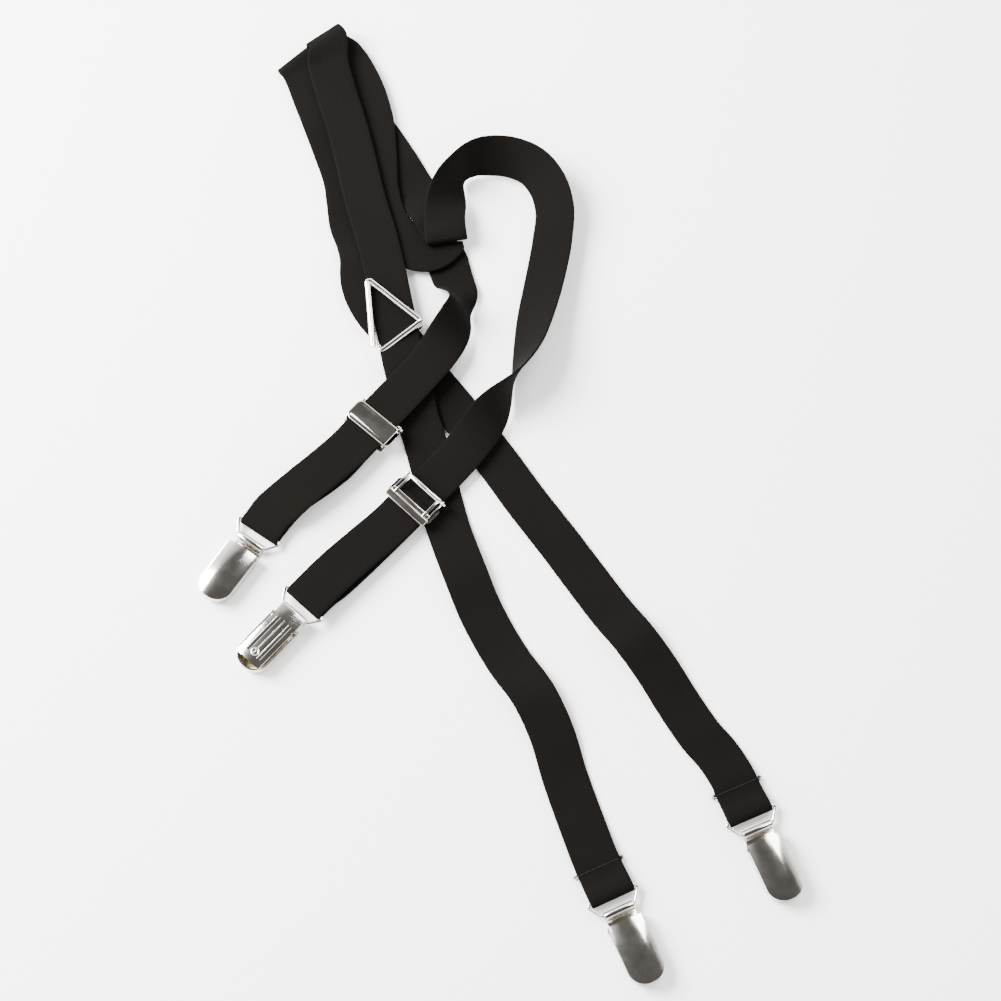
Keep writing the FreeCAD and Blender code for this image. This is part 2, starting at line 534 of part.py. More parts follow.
def make_hem_stitch(tag, label, clip):
    """A row of thread across the hem, on top of the strap."""
    bar, azimuth, flipped = clip
    across = direction(azimuth)
    ahead = direction(azimuth + 90)
    top = HEM_HIGH + SIZE["web_thick"] / 2
    stitches = []
    for number in range(-3, 4):
        place = Vector(bar[0], bar[1], top) + ahead * SIZE["stitch_ahead"] + SHIFT
        place = place + across * (number * SIZE["thread_pitch"])
        stitch = Part.makeBox(SIZE["thread_long"], SIZE["thread_wide"], SIZE["thread_high"])
        stitch.Placement = FreeCAD.Placement(place - across * (SIZE["thread_long"] / 2),
                                             FreeCAD.Rotation(Vector(0, 0, 1), azimuth))
        stitches.append(stitch)
    row = doc.addObject("Part::Feature", tag + "_stitch")
    row.Shape = Part.makeCompound(stitches)
    keep(row, label + "_hem_stitch")


# ---------------------------------------------------------------- assembly
for label, (bar, azimuth, flipped) in CLIPS.items():
    place = clip_place(bar, azimuth, flipped)
    make_bail(label, label, place)
    make_back_plate(label, label, place)
    make_lever(label, label, place)
    make_clip_small_parts(label, label, place)
for label, (centre, azimuth, flipped) in ADJUSTERS.items():
    make_adjuster(label, label, adjuster_place(centre, azimuth, flipped))
make_ring()
make_strap("left", left_strap())
make_strap("right", right_strap())
make_hem_stitch("left", "left_back", HEM_LEFT)
make_hem_stitch("right", "right_back", HEM_RIGHT)

doc.recompute()
faults = [thing.Name for thing in doc.Objects if "Invalid" in thing.State or "Error" in thing.State]
for node in nodes:
    shape = node.Shape
    if shape.isNull() or not shape.isValid() or shape.Volume <= 0:
        faults.append(node.Label)
if faults:
    raise SystemExit("failed objects: " + ", ".join(faults))

os.makedirs("parts", exist_ok=True)
whole = FreeCAD.BoundBox()
for node in nodes:
    node.Shape.exportStep("parts/" + node.Label + ".step")
    whole.add(node.Shape.BoundBox)
print(len(nodes), "nodes", whole)
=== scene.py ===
import json
import bpy
import bmesh
import math
import random
from mathutils import Matrix, Vector

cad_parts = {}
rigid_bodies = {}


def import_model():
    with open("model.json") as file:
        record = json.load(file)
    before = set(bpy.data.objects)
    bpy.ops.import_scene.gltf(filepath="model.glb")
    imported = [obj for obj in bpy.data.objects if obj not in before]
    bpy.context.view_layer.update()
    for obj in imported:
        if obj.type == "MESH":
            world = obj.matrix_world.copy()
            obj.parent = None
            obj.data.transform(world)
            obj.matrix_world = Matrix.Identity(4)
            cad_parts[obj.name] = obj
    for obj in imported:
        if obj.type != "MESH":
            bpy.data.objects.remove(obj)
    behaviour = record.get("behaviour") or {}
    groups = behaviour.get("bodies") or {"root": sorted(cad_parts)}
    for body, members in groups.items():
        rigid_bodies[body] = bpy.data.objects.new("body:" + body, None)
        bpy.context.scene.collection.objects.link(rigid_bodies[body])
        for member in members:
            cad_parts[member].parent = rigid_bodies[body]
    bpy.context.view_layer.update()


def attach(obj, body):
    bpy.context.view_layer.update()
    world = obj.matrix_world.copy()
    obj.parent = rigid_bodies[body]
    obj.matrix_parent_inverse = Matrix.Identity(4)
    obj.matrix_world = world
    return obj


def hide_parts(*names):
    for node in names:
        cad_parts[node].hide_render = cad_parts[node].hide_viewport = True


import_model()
mm = 0.001
shift = Vector((3.96, -17.77, 0))  # moves the routes and clips to the frame's centre

# the camera comes first, so the view is settled before anything is made
view = {"elevation": 70, "distance": 0.8, "lens": 62.72, "aim": (3.96, -17.77, 0)}


def makeCamera():
    aim = Vector(view["aim"]) * mm
    tilt = math.radians(view["elevation"])
    bpy.ops.object.camera_add(location=aim + Vector((0, -math.cos(tilt), math.sin(tilt))) * view["distance"],
                              rotation=(math.pi / 2 - tilt, 0, 0))
    bpy.context.object.data.lens = view["lens"]
    bpy.context.object.data.clip_start = 0.01
    bpy.context.scene.camera = bpy.context.object


makeCamera()
print("camera set")


class Channel:  # a socket that can be added and multiplied
    def __init__(self, maker, socket):
        self.maker = maker
        self.socket = socket

    def maths(self, operation, other, swapped=False):
        pair = (other, self) if swapped else (self, other)
        return self.maker.node("ShaderNodeMath", {"operation": operation}, {0: pair[0], 1: pair[1]})

    def __add__(self, other):
        return self.maths("ADD", other)

    def __radd__(self, other):
        return self.maths("ADD", other, True)

    def __mul__(self, other):
        return self.maths("MULTIPLY", other)

    def __rmul__(self, other):
        return self.maths("MULTIPLY", other, True)

    def sibling(self, output):
        return Channel(self.maker, self.socket.node.outputs[output])


class Finish:  # one procedural material and its nodes
    def __init__(self, name):
        self.material = bpy.data.materials.new(name)
        self.material.use_nodes = True
        self.tree = self.material.node_tree
        self.shader = self.tree.nodes["Principled BSDF"]

    def node(self, kind, settings=None, inputs=None, output=0):
        made = self.tree.nodes.new(kind)
        for name, value in (settings or {}).items():
            if name == "stops":
                for stop, (place, colour) in zip(made.color_ramp.elements, value):
                    stop.position = place
                    stop.color = (*colour, 1)
            else:
                setattr(made, name, value)
        for name, value in (inputs or {}).items():
            self.feed(made.inputs[name], value)
        return Channel(self, made.outputs[output])

    def feed(self, socket, value):
        if isinstance(value, Channel):
            self.tree.links.new(value.socket, socket)
        else:
            socket.default_value = value

    def set(self, **values):
        for name, value in values.items():
            self.feed(self.shader.inputs[name.replace("_", " ")], value)

    def coordinates(self, output="Object"):
        return self.node("ShaderNodeTexCoord", {}, {}, output)

    def noise(self, place, scale, detail=3.0):
        return self.node("ShaderNodeTexNoise", {}, {"Vector": place, "Scale": scale, "Detail": detail})

    def ramp(self, factor, low, high, start=0.0, end=1.0):
        return self.node("ShaderNodeValToRGB", {"stops": [(start, low), (end, high)]}, {0: factor})

    def bump(self, height, strength, distance):
        return self.node("ShaderNodeBump", {}, {"Height": height, "Strength": strength, "Distance": distance})


def makeWebbing():
    cloth = {"pick": 0.00075, "rib": 0.0011,  # metres from thread to thread, along and across
             "dark": (0.0011, 0.0008, 0.0006), "light": (0.0045, 0.0034, 0.0026)}
    finish = Finish("wovenElastic")
    place = finish.node("ShaderNodeUVMap", {"uv_map": "weave"})
    across = finish.node("ShaderNodeSeparateXYZ", {}, {0: place})
    along = across.sibling("Y")
    wobble = finish.noise(finish.coordinates(), 900.0, 2.0)
    picks = (along * (math.tau / cloth["pick"]) + wobble * 1.6).maths("SINE", 0.0)
    ribs = (across * (math.tau / cloth["rib"])).maths("SINE", 0.0)
    grain = finish.noise(finish.coordinates(), 2600.0, 2.0)
    weave = picks * 0.32 + ribs * 0.2 + picks * ribs * 0.25 + grain * 0.5
    patch = finish.noise(finish.coordinates(), 45.0, 3.0)
    finish.set(Base_Color=finish.ramp(weave * 0.45 + patch * 0.5, cloth["dark"], cloth["light"], 0.1, 0.95),
               Roughness=0.82 + 0.12 * patch, Specular_IOR_Level=0.05,
               Normal=finish.bump(weave, 0.55, 0.00018))
    return finish.material


def makeMetal(name, low, high, polish):
    finish = Finish(name)
    place = finish.coordinates()
    wear = finish.noise(place, 160.0, 4.0)
    specks = finish.noise(place, 1500.0, 3.0)
    finish.set(Base_Color=finish.ramp(wear, low, high, 0.3, 0.75), Metallic=1.0,
               Roughness=polish + 0.10 * wear * specks,
               Normal=finish.bump(wear + specks * 0.25, 0.12, 0.0002))
    return finish.material


def makePlastic():
    finish = Finish("ivoryPad")
    place = finish.coordinates()
    cloud = finish.noise(place, 220.0, 3.0)
    finish.set(Base_Color=finish.ramp(cloud, (0.55, 0.51, 0.44), (0.68, 0.64, 0.56)),
               Roughness=0.38 + 0.15 * cloud, Normal=finish.bump(finish.noise(place, 2200.0), 0.2, 0.0001))
    return finish.material


def makeThread():
    finish = Finish("blackThread")
    place = finish.coordinates()
    twist = finish.noise(place, 3500.0, 2.0)
    finish.set(Base_Color=finish.ramp(twist, (0.003, 0.0026, 0.0022), (0.012, 0.010, 0.009)),
               Roughness=0.7 + 0.2 * twist, Specular_IOR_Level=0.1, Normal=finish.bump(twist, 0.4, 0.0001))
    return finish.material


finishes = {
    "webbing": makeWebbing(),
    "nickel": makeMetal("brightNickel", (0.62, 0.59, 0.55), (0.80, 0.78, 0.74), 0.10),
    "brass": makeMetal("brassyInside", (0.42, 0.31, 0.16), (0.62, 0.49, 0.28), 0.22),
    "pad": makePlastic(),
    "thread": makeThread(),
}
print("finishes made")


def deselect():
    bpy.ops.object.select_all(action="DESELECT")


def block(name, size, centre):
    bpy.ops.mesh.primitive_cube_add(size=1, location=Vector(centre) * mm)
    made = bpy.context.object
    made.name = name
    made.scale = Vector(size) * mm
    bpy.ops.object.transform_apply(location=True, rotation=True, scale=True)
    return made


def drum(name, radius, depth, centre, along="x", vertices=40):
    turn = {"x": (0, math.pi / 2, 0), "y": (math.pi / 2, 0, 0), "z": (0, 0, 0)}[along]
    bpy.ops.mesh.primitive_cylinder_add(radius=radius * mm, depth=depth * mm, vertices=vertices,
                                        location=Vector(centre) * mm, rotation=turn)
    made = bpy.context.object
    made.name = name
    bpy.ops.object.transform_apply(location=True, rotation=True, scale=True)
    return made


def pick(thing, kind, test):
    deselect()
    thing.select_set(True)
    bpy.context.view_layer.objects.active = thing
    bpy.ops.object.mode_set(mode="EDIT")
    bpy.ops.mesh.select_mode(type=kind)
    bpy.ops.mesh.select_all(action="DESELECT")
    mesh = bmesh.from_edit_mesh(thing.data)
    for part in (mesh.faces if kind == "FACE" else mesh.edges):
        part.select_set(bool(test(part)))
    mesh.select_flush_mode()
    bmesh.update_edit_mesh(thing.data)


def endEdit():
    bpy.ops.object.mode_set(mode="OBJECT")


def bevelEdges(thing, test, offset, segments=3):
    pick(thing, "EDGE", test)
    bpy.ops.mesh.bevel(offset=offset * mm, segments=segments, affect="EDGES", clamp_overlap=True)
    endEdit()


def applied(thing, kind, **settings):
    bpy.context.view_layer.objects.active = thing
    made = thing.modifiers.new(kind.lower(), kind)
    for name, value in settings.items():
        setattr(made, name, value)
    bpy.ops.object.modifier_apply(modifier=made.name)


def softened(thing, width=0.15, segments=2):
    deselect()
    thing.select_set(True)
    applied(thing, "BEVEL", width=width * mm, segments=segments,
            limit_method="ANGLE", angle_limit=math.radians(40))
    return thing


def joined(name, things):
    deselect()
    for thing in things:
        thing.select_set(True)
    bpy.context.view_layer.objects.active = things[0]
    bpy.ops.object.join()
    things[0].name = name
    return things[0]


def smooth(thing, angle=40):
    deselect()
    thing.select_set(True)
    bpy.context.view_layer.objects.active = thing
    bpy.ops.object.shade_smooth_by_angle(angle=math.radians(angle))


def edgeRuns(axis):  # 0, 1 or 2 for edges that run along x, y or z
    return lambda edge: abs((edge.verts[1].co - edge.verts[0].co).normalized()[axis]) > 0.99


upright = edgeRuns(2)


def openEnds(tube, axis, thickness):  # take a drum's end faces off and give its wall a thickness
    pick(tube, "FACE", lambda face: abs(face.normal[axis]) > 0.99)
    bpy.ops.mesh.delete(type="FACE")
    endEdit()
    applied(tube, "SOLIDIFY", thickness=thickness * mm, offset=-1)


def wire(name, points, radius, closed):
    curve = bpy.data.curves.new(name, "CURVE")
    curve.dimensions = "3D"
    curve.bevel_depth = radius * mm
    curve.bevel_resolution = 6
    curve.use_fill_caps = not closed
    line = curve.splines.new("POLY")
    line.points.add(len(points) - 1)
    for spot, point in zip(line.points, points):
        spot.co = (*(Vector(point) * mm), 1)
    line.use_cyclic_u = closed
    made = bpy.data.objects.new(name, curve)
    bpy.context.collection.objects.link(made)
    deselect()
    made.select_set(True)
    bpy.context.view_layer.objects.active = made
    bpy.ops.object.convert(target="MESH")
    return bpy.context.object


def roundedPath(corners, bends, steps, closed=True):  # straight runs with an arc at each corner
    path = []
    count = len(corners)
    for index, corner in enumerate(corners):
        corner = Vector(corner)
        if not closed and index in (0, count - 1):
            path.append(corner)
            continue
        before = (Vector(corners[index - 1]) - corner).normalized()
        after = (Vector(corners[(index + 1) % count]) - corner).normalized()
        half = before.angle(after) / 2
        setback = bends[index] / math.tan(half)
        hub = corner + (before + after).normalized() * (bends[index] / math.sin(half))
        first = corner + before * setback - hub
        last = corner + after * setback - hub
        for step in range(steps + 1):
            share = step / steps
            path.append(hub + first.slerp(last, share))
    return path


# clip pieces are modelled once in the clip's own frame, in mm:
# x runs across, y up the strap, z off the back plate, and the clip's wire bar is at y = 0
pivot = (-6.2, 3.8)  # y and z of the clip's hinge
barHigh = 2.5  # z of the middle of the wire bar

bailSizes = {"reach": 7.5, "lowHalf": 8.0, "topHalf": 12.9, "lowBend": 1.6, "topBend": 1.4, "radius": 0.8}


def makeBail():
    low, top, reach = bailSizes["lowHalf"], bailSizes["topHalf"], bailSizes["reach"]
    corners = [(-low, 0, barHigh), (low, 0, barHigh), (top, reach, barHigh), (-top, reach, barHigh)]
    bends = [bailSizes["lowBend"]] * 2 + [bailSizes["topBend"]] * 2
    bail = wire("bail", roundedPath(corners, bends, 10), bailSizes["radius"], True)
    smooth(bail, 60)
    return bail


leverSizes = {"wide": 16.0, "near": -4.6, "far": -32.0, "low": 1.6, "top": 7.2, "crown": 26.0,
              "tipRound": 7.3, "rimRound": 2.6, "skin": 0.8, "edge": 0.16,
              "jaw": (12.0, 0.8, 3.9), "jawMiddle": (0, -10.6, 4.45), "archMiddle": -15, "archLong": 90}


def makeLeverShell():
    near, far, low, crown = (leverSizes[name] for name in ("near", "far", "low", "crown"))
    tall = leverSizes["top"] - low + 4  # some to spare, because the arch cuts the top
    shell = block("lever", (leverSizes["wide"], near - far, tall), (0, (near + far) / 2, low + tall / 2))
    bevelEdges(shell, lambda edge: upright(edge) and edge.verts[0].co.y / mm < far + 0.01,
               leverSizes["tipRound"], 18)
    arch = drum("arch", crown, leverSizes["archLong"],
                (0, leverSizes["archMiddle"], leverSizes["top"] - crown), "y", 256)
    applied(shell, "BOOLEAN", operation="INTERSECT", solver="EXACT", object=arch)
    bpy.data.objects.remove(arch)
    pick(shell, "FACE", lambda face: face.normal.z < -0.99 or face.normal.y > 0.99)
    bpy.ops.mesh.delete(type="FACE")
    endEdit()
    deselect()
    shell.select_set(True)
    applied(shell, "BEVEL", width=leverSizes["rimRound"] * mm, segments=7,
            limit_method="ANGLE", angle_limit=math.radians(35))
    shell.data.materials.clear()
    shell.data.materials.append(finishes["nickel"])
    shell.data.materials.append(finishes["brass"])
    applied(shell, "SOLIDIFY", thickness=leverSizes["skin"] * mm, offset=-1, material_offset=1)
    softened(shell, leverSizes["edge"], 2)
    jaw = softened(block("jaw", leverSizes["jaw"], leverSizes["jawMiddle"]), 0.12)
    jaw.data.materials.append(finishes["nickel"])
    shell = joined("lever", [shell, jaw])
    smooth(shell, 35)
    return shell


plateSizes = {"wide": 13.4, "long": 29.0, "thick": 0.8, "beadLong": 20.0, "beadMiddle": -15.5,
              "beads": ((-3.4, 1.9, 0.22), (3.4, 1.9, 0.22), (0, 0.7, 0.15)),  # place, width, height
              "roll": 2.0, "rollWall": 0.8, "earRadius": 1.3, "earThick": 0.7}


def makeBackPlate():
    wide, long, thick = plateSizes["wide"], plateSizes["long"], plateSizes["thick"]
    plate = block("plate", (wide, long, thick), (0, -long / 2, thick / 2))
    softened(plate, 0.2, 2)
    pieces = [plate]
    for middle, width, height in plateSizes["beads"]:
        bead = block("bead", (width, plateSizes["beadLong"], 2 * height),
                     (middle, plateSizes["beadMiddle"], 0.1))
        bevelEdges(bead, edgeRuns(1), min(width, 2 * height) * 0.45, 4)
        pieces.append(bead)
    roll = drum("roll", plateSizes["roll"], wide, (0, 0, barHigh))
    openEnds(roll, 0, plateSizes["rollWall"])
    softened(roll, 0.12)
    pieces.append(roll)
    back, high = pivot
    radius, skin = plateSizes["earRadius"], plateSizes["earThick"]
    for side in (-1, 1):
        middle = side * (wide - skin) / 2
        stem = block("stem", (skin, 2 * radius, high), (middle, back, high / 2))
        ear = drum("ear", radius, skin, (middle, back, high))
        pieces += [softened(stem, 0.1), softened(ear, 0.1)]
    plate = joined("backPlate", pieces)
    smooth(plate, 35)
    return plate


pinSizes = {"radius": 0.6, "long": 16.6, "headRadius": 1.25, "headThick": 0.6, "headMiddle": 8.35}


def makePin():
    shaft = drum("pin", pinSizes["radius"], pinSizes["long"], (0, *pivot), "x", 24)
    pieces = [shaft]
    for side in (-1, 1):
        head = drum("head", pinSizes["headRadius"], pinSizes["headThick"],
                    (side * pinSizes["headMiddle"], *pivot), "x", 28)
        pieces.append(softened(head, 0.25, 3))
    pin = joined("pin", pieces)
    smooth(pin, 35)
    return pin


padSizes = {"wide": 10.8, "near": -13.0, "far": -28.0, "thick": 0.9, "middle": 1.25,
            "ridge": (9.6, 0.7, 0.5), "ridgeHigh": 1.75, "ridges": 9, "pitch": 1.5}


def makePad():
    near, far, pitch = padSizes["near"], padSizes["far"], padSizes["pitch"]
    pad = block("pad", (padSizes["wide"], near - far, padSizes["thick"]),
                (0, (near + far) / 2, padSizes["middle"]))
    pieces = [softened(pad, 0.25, 3)]
    for number in range(padSizes["ridges"]):
        ridge = block("ridge", padSizes["ridge"], (0, far + (number + 1) * pitch, padSizes["ridgeHigh"]))
        bevelEdges(ridge, edgeRuns(0), 0.2, 2)
        pieces.append(ridge)
    pad = joined("pad", pieces)
    smooth(pad, 35)
    return pad


eyeletSizes = {"middle": -24.0, "rim": 1.65, "rimWire": 0.42, "rimHigh": 0.3,
               "tube": 1.5, "tubeLong": 2.2, "tubeMiddle": 1.2, "wall": 0.5}


def makeEyelet():
    middle = eyeletSizes["middle"]
    bpy.ops.mesh.primitive_torus_add(major_radius=eyeletSizes["rim"] * mm,
                                     minor_radius=eyeletSizes["rimWire"] * mm,
                                     major_segments=36, minor_segments=12,
                                     location=Vector((0, middle, eyeletSizes["rimHigh"])) * mm)
    rim = bpy.context.object
    tube = drum("tube", eyeletSizes["tube"], eyeletSizes["tubeLong"],
                (0, middle, eyeletSizes["tubeMiddle"]), "z", 32)
    openEnds(tube, 2, eyeletSizes["wall"])
    eyelet = joined("eyelet", [rim, tube])
    bpy.ops.object.transform_apply(location=True, rotation=True, scale=True)
    smooth(eyelet, 50)
    return eyelet


# adjuster pieces are modelled in the adjuster's own frame:
# x runs across, y towards the shoulder, z off the strap's front
hinge = (6.8, 1.5)  # y and z of the adjuster's hinge
lugRadius = 1.3

caseSizes = {"wide": 24.0, "long": 10.6, "top": 5.8, "skin": 0.8, "leftRound": 2.8, "rightRound": 0.8,
             "rim": 0.5, "frame": 1.0, "slope": 0.35, "sink": 0.22,
             "wall": (0.8, 12.6, 4.2), "wallPlace": (10.9, 0.3, 3.4),
             "bar": (21.4, 2.5, 0.4), "barPlace": (0, -2.75, 1.45)}


def makeCase():
    wide, high, skin = caseSizes["wide"], caseSizes["top"], caseSizes["skin"]
    top = block("case", (wide, caseSizes["long"], skin), (0, 0, high - skin / 2))
    bevelEdges(top, lambda edge: upright(edge) and edge.verts[0].co.x < 0, caseSizes["leftRound"], 6)
    bevelEdges(top, lambda edge: upright(edge) and edge.verts[0].co.x / mm > wide / 2 - 1,
               caseSizes["rightRound"], 3)
    bevelEdges(top, lambda edge: all(v.co.z / mm > high - 0.01 for v in edge.verts), caseSizes["rim"], 4)
    pick(top, "FACE", lambda face: face.normal.z > 0.99 and face.calc_area() > 1e-4)
    bpy.ops.mesh.inset(thickness=caseSizes["frame"] * mm, depth=0)
    bpy.ops.mesh.inset(thickness=caseSizes["slope"] * mm, depth=-caseSizes["sink"] * mm)  # a plain panel
    endEdit()
    pieces = [top]
    across, ahead, up = caseSizes["wallPlace"]
    for side in (-1, 1):
        pieces.append(softened(block("wall", caseSizes["wall"], (side * across, ahead, up)), 0.15))
        pieces.append(softened(drum("lug", lugRadius, skin, (side * across, *hinge)), 0.12))
    pieces.append(softened(block("bar", caseSizes["bar"], caseSizes["barPlace"]), 0.1))
    case = joined("case", pieces)
    smooth(case, 35)
    return case


lockSizes = {"band": (24.0, 3.5, 0.8), "bandPlace": (0, -5.65, 0.62),
             "lip": (22.6, 2.2, 0.7), "lipPlace": (0, -2.65, 0.75),
             "arm": (1.3, 11.0, 0.7), "armPlace": (8.8, 0.9, 0.62),
             "knuckle": 1.2, "knuckleLong": 19.0, "knuckleWall": 0.35}


def makeLock():
    pieces = [softened(block("lockBand", lockSizes["band"], lockSizes["bandPlace"]), 0.3, 4),
              softened(block("lockLip", lockSizes["lip"], lockSizes["lipPlace"]), 0.25, 3)]
    across, ahead, up = lockSizes["armPlace"]
    for side in (-1, 1):
        pieces.append(softened(block("lockArm", lockSizes["arm"], (side * across, ahead, up)), 0.15))
    knuckle = drum("knuckle", lockSizes["knuckle"], lockSizes["knuckleLong"], (0, *hinge), "x", 28)
    openEnds(knuckle, 0, lockSizes["knuckleWall"])
    pieces.append(softened(knuckle, 0.08))
    lock = joined("lock", pieces)
    smooth(lock, 35)
    return lock


hingePinSizes = {"radius": 0.5, "long": 25.2, "edge": 0.15}


def makeHingePin():
    pin = drum("hingePin", hingePinSizes["radius"], hingePinSizes["long"], (0, *hinge), "x", 24)
    softened(pin, hingePinSizes["edge"], 2)
    smooth(pin, 35)
    return pin


def placed(master, name, matrix, node, body, finish):
    piece = master.copy()
    piece.data = master.data.copy()
    piece.name = name
    piece.data.name = name
    piece.data.transform(matrix)
    bpy.context.collection.objects.link(piece)
    if len(piece.data.materials) < 2:
        piece.data.materials.clear()
        piece.data.materials.append(finishes[finish])
    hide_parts(node)
    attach(piece, body)
    return piece


def placeMatrix(centre, turn, height):
    matrix = Matrix.Translation((Vector((centre[0], centre[1], 0)) + shift) * mm)
    matrix = matrix @ Matrix.Rotation(math.radians(turn), 4, "Z")
    if height:
        matrix = Matrix.Translation((0, 0, height * mm)) @ matrix @ Matrix.Rotation(math.pi, 4, "Y")
    return matrix


clips = {  # middle of the bar in the webbing, turn, height when it lies on its face
    "left_front": ((-109.0, -15.0), -34.0, 0),
    "right_front": ((-87.0, -50.0), -42.0, 7.4),
    "left_back": ((47.0, -178.0), 24.0, 0),
    "right_back": ((107.0, -144.0), 23.0, 0),
}
adjusters = {  # middle, turn, height when it lies on its face, lift off the floor
    "left": ((-59.3, 35.6), -41.0, 0, 2.6),
    "right": ((-39.0, -1.5), -43.0, 7.6, 0),
}


def makeHardware():
    masters = {"bail": makeBail(), "lever": makeLeverShell(), "back_plate": makeBackPlate(),
               "hinge_pin": makePin(), "grip_pad": makePad(), "eyelet": makeEyelet()}
    for label, (bar, turn, height) in clips.items():
        matrix = placeMatrix(bar, turn, height) @ Matrix.Translation((0, -bailSizes["reach"] * mm, 0))
        for kind, master in masters.items():
            body = label + {"bail": "_bail", "lever": "_lever"}.get(kind, "_clip")
            slot = "pad" if kind == "grip_pad" else "nickel"
            placed(master, label + "_" + kind + "_form", matrix, label + "_" + kind, body, slot)
    parts = {"case": makeCase(), "lever": makeLock(), "pin": makeHingePin()}
    for label, (centre, turn, height, lift) in adjusters.items():
        matrix = Matrix.Translation((0, 0, lift * mm)) @ placeMatrix(centre, turn, height)
        for kind, master in parts.items():
            body = label + ("_lock" if kind == "lever" else "_adjuster")
            node = label + "_adjuster_" + kind
            placed(master, node + "_form", matrix, node, body, "nickel")
    for master in list(masters.values()) + list(parts.values()):
        bpy.data.objects.remove(master)


makeHardware()
print("clips and adjusters made")

ring = {"corners": [(-58.5, 67.5), (-68.5, 118.0), (-32.5, 87.5)], "low": 1.4, "high": 7.2,
        "start": 0.13, "end": 0.86,  # how far along its side each free end of the wire is
        "bend": 4.0, "wire": 1.5}


def makeRing():
    flat = [Vector((x, y, 0)) + shift for x, y in ring["corners"]]
    low, high = ring["low"], ring["high"]
    start, end = flat[0].lerp(flat[1], ring["start"]), flat[2].lerp(flat[0], ring["end"])
    levels = [(start, high), (flat[1], high), (flat[2], high), (flat[0], (high + low) / 2),
              (flat[1], low), (flat[2], low), (end, low)]
    corners = [Vector((spot.x, spot.y, level)) for spot, level in levels]
    path = roundedPath(corners, [ring["bend"]] * len(corners), 10, closed=False)
    made = wire("backRingWire", path, ring["wire"], False)
    smooth(made, 60)
    made.data.materials.append(finishes["nickel"])
    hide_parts("back_ring")
    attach(made, "ring")


makeRing()
print("ring made")

# each strap is one ribbon of webbing laid along a route of points
# a point is (x, y, height, side azimuth, lean): the azimuth turns the width, the lean rolls it
web = {"wide": 20.0, "thick": 1.2, "edge": 0.55, "turn": 1.7, "bar": 2.5, "low": 0.8, "hem": 2.15,
       "steps": 12}


def direction(azimuth):
    return Vector((math.cos(math.radians(azimuth)), math.sin(math.radians(azimuth)), 0))


def beside(bar, azimuth, distance, height, lean=0):
    place = Vector((*bar, 0)) + direction(azimuth + 90) * distance
    return (place.x, place.y, height, azimuth, lean)


def fold(centre, low, high, heading, side, falling=True):
    middle, radius = (low + high) / 2, (high - low) / 2
    points = []
    for angle in (90, 45, 0, -45, -90):
        ahead = direction(heading) * (radius * math.cos(math.radians(angle)))
        rise = radius * math.sin(math.radians(angle)) * (1 if falling else -1)
        points.append((centre[0] + ahead.x, centre[1] + ahead.y, middle + rise, side, 0))
    return points


def hem(bar, azimuth):
    under = [beside(bar, azimuth, distance, web["low"]) for distance in (15, 10, 5, 0)]
    turn = []
    for angle in (-60, -30, 0, 30, 60, 90):
        ahead = -web["turn"] * math.cos(math.radians(angle))
        turn.append(beside(bar, azimuth, ahead, web["bar"] + web["turn"] * math.sin(math.radians(angle))))
    steps = ((3, 3.9), (6.5, 2.7), (10, web["hem"]), (16, web["hem"]))
    over = [beside(bar, azimuth, *step) for step in steps]
    return under + turn + over


def throughAdjuster(centre, square, main, lean):
    return [beside(centre, square, -distance, main, lean) for distance in (16, 11, -10, -15)]


def aroundBail(label, first, outward, inward, centre, square, tail, lean):
    bar, azimuth, height = clips[label]
    side = azimuth + 180
    middle = height - web["bar"] if height else web["bar"]
    points = list(outward)
    for distance, rise in ((7.5, 1.25), (3.0, 1.0)):
        points.append(beside(bar, side, -distance, middle + first * web["turn"] * rise, lean))
    for angle in (90, 60, 30, 0, -30, -60, -90):
        rise = first * web["turn"] * math.sin(math.radians(angle))
        points.append(beside(bar, side, web["turn"] * math.cos(math.radians(angle)), middle + rise, lean))
    points += [beside(bar, side, -distance, middle - first * web["turn"], lean) for distance in (3.0, 7.5)]
    points += list(inward)
    return points + [beside(centre, square, -distance, tail, lean) for distance in (-14, -9, -4, 1)]


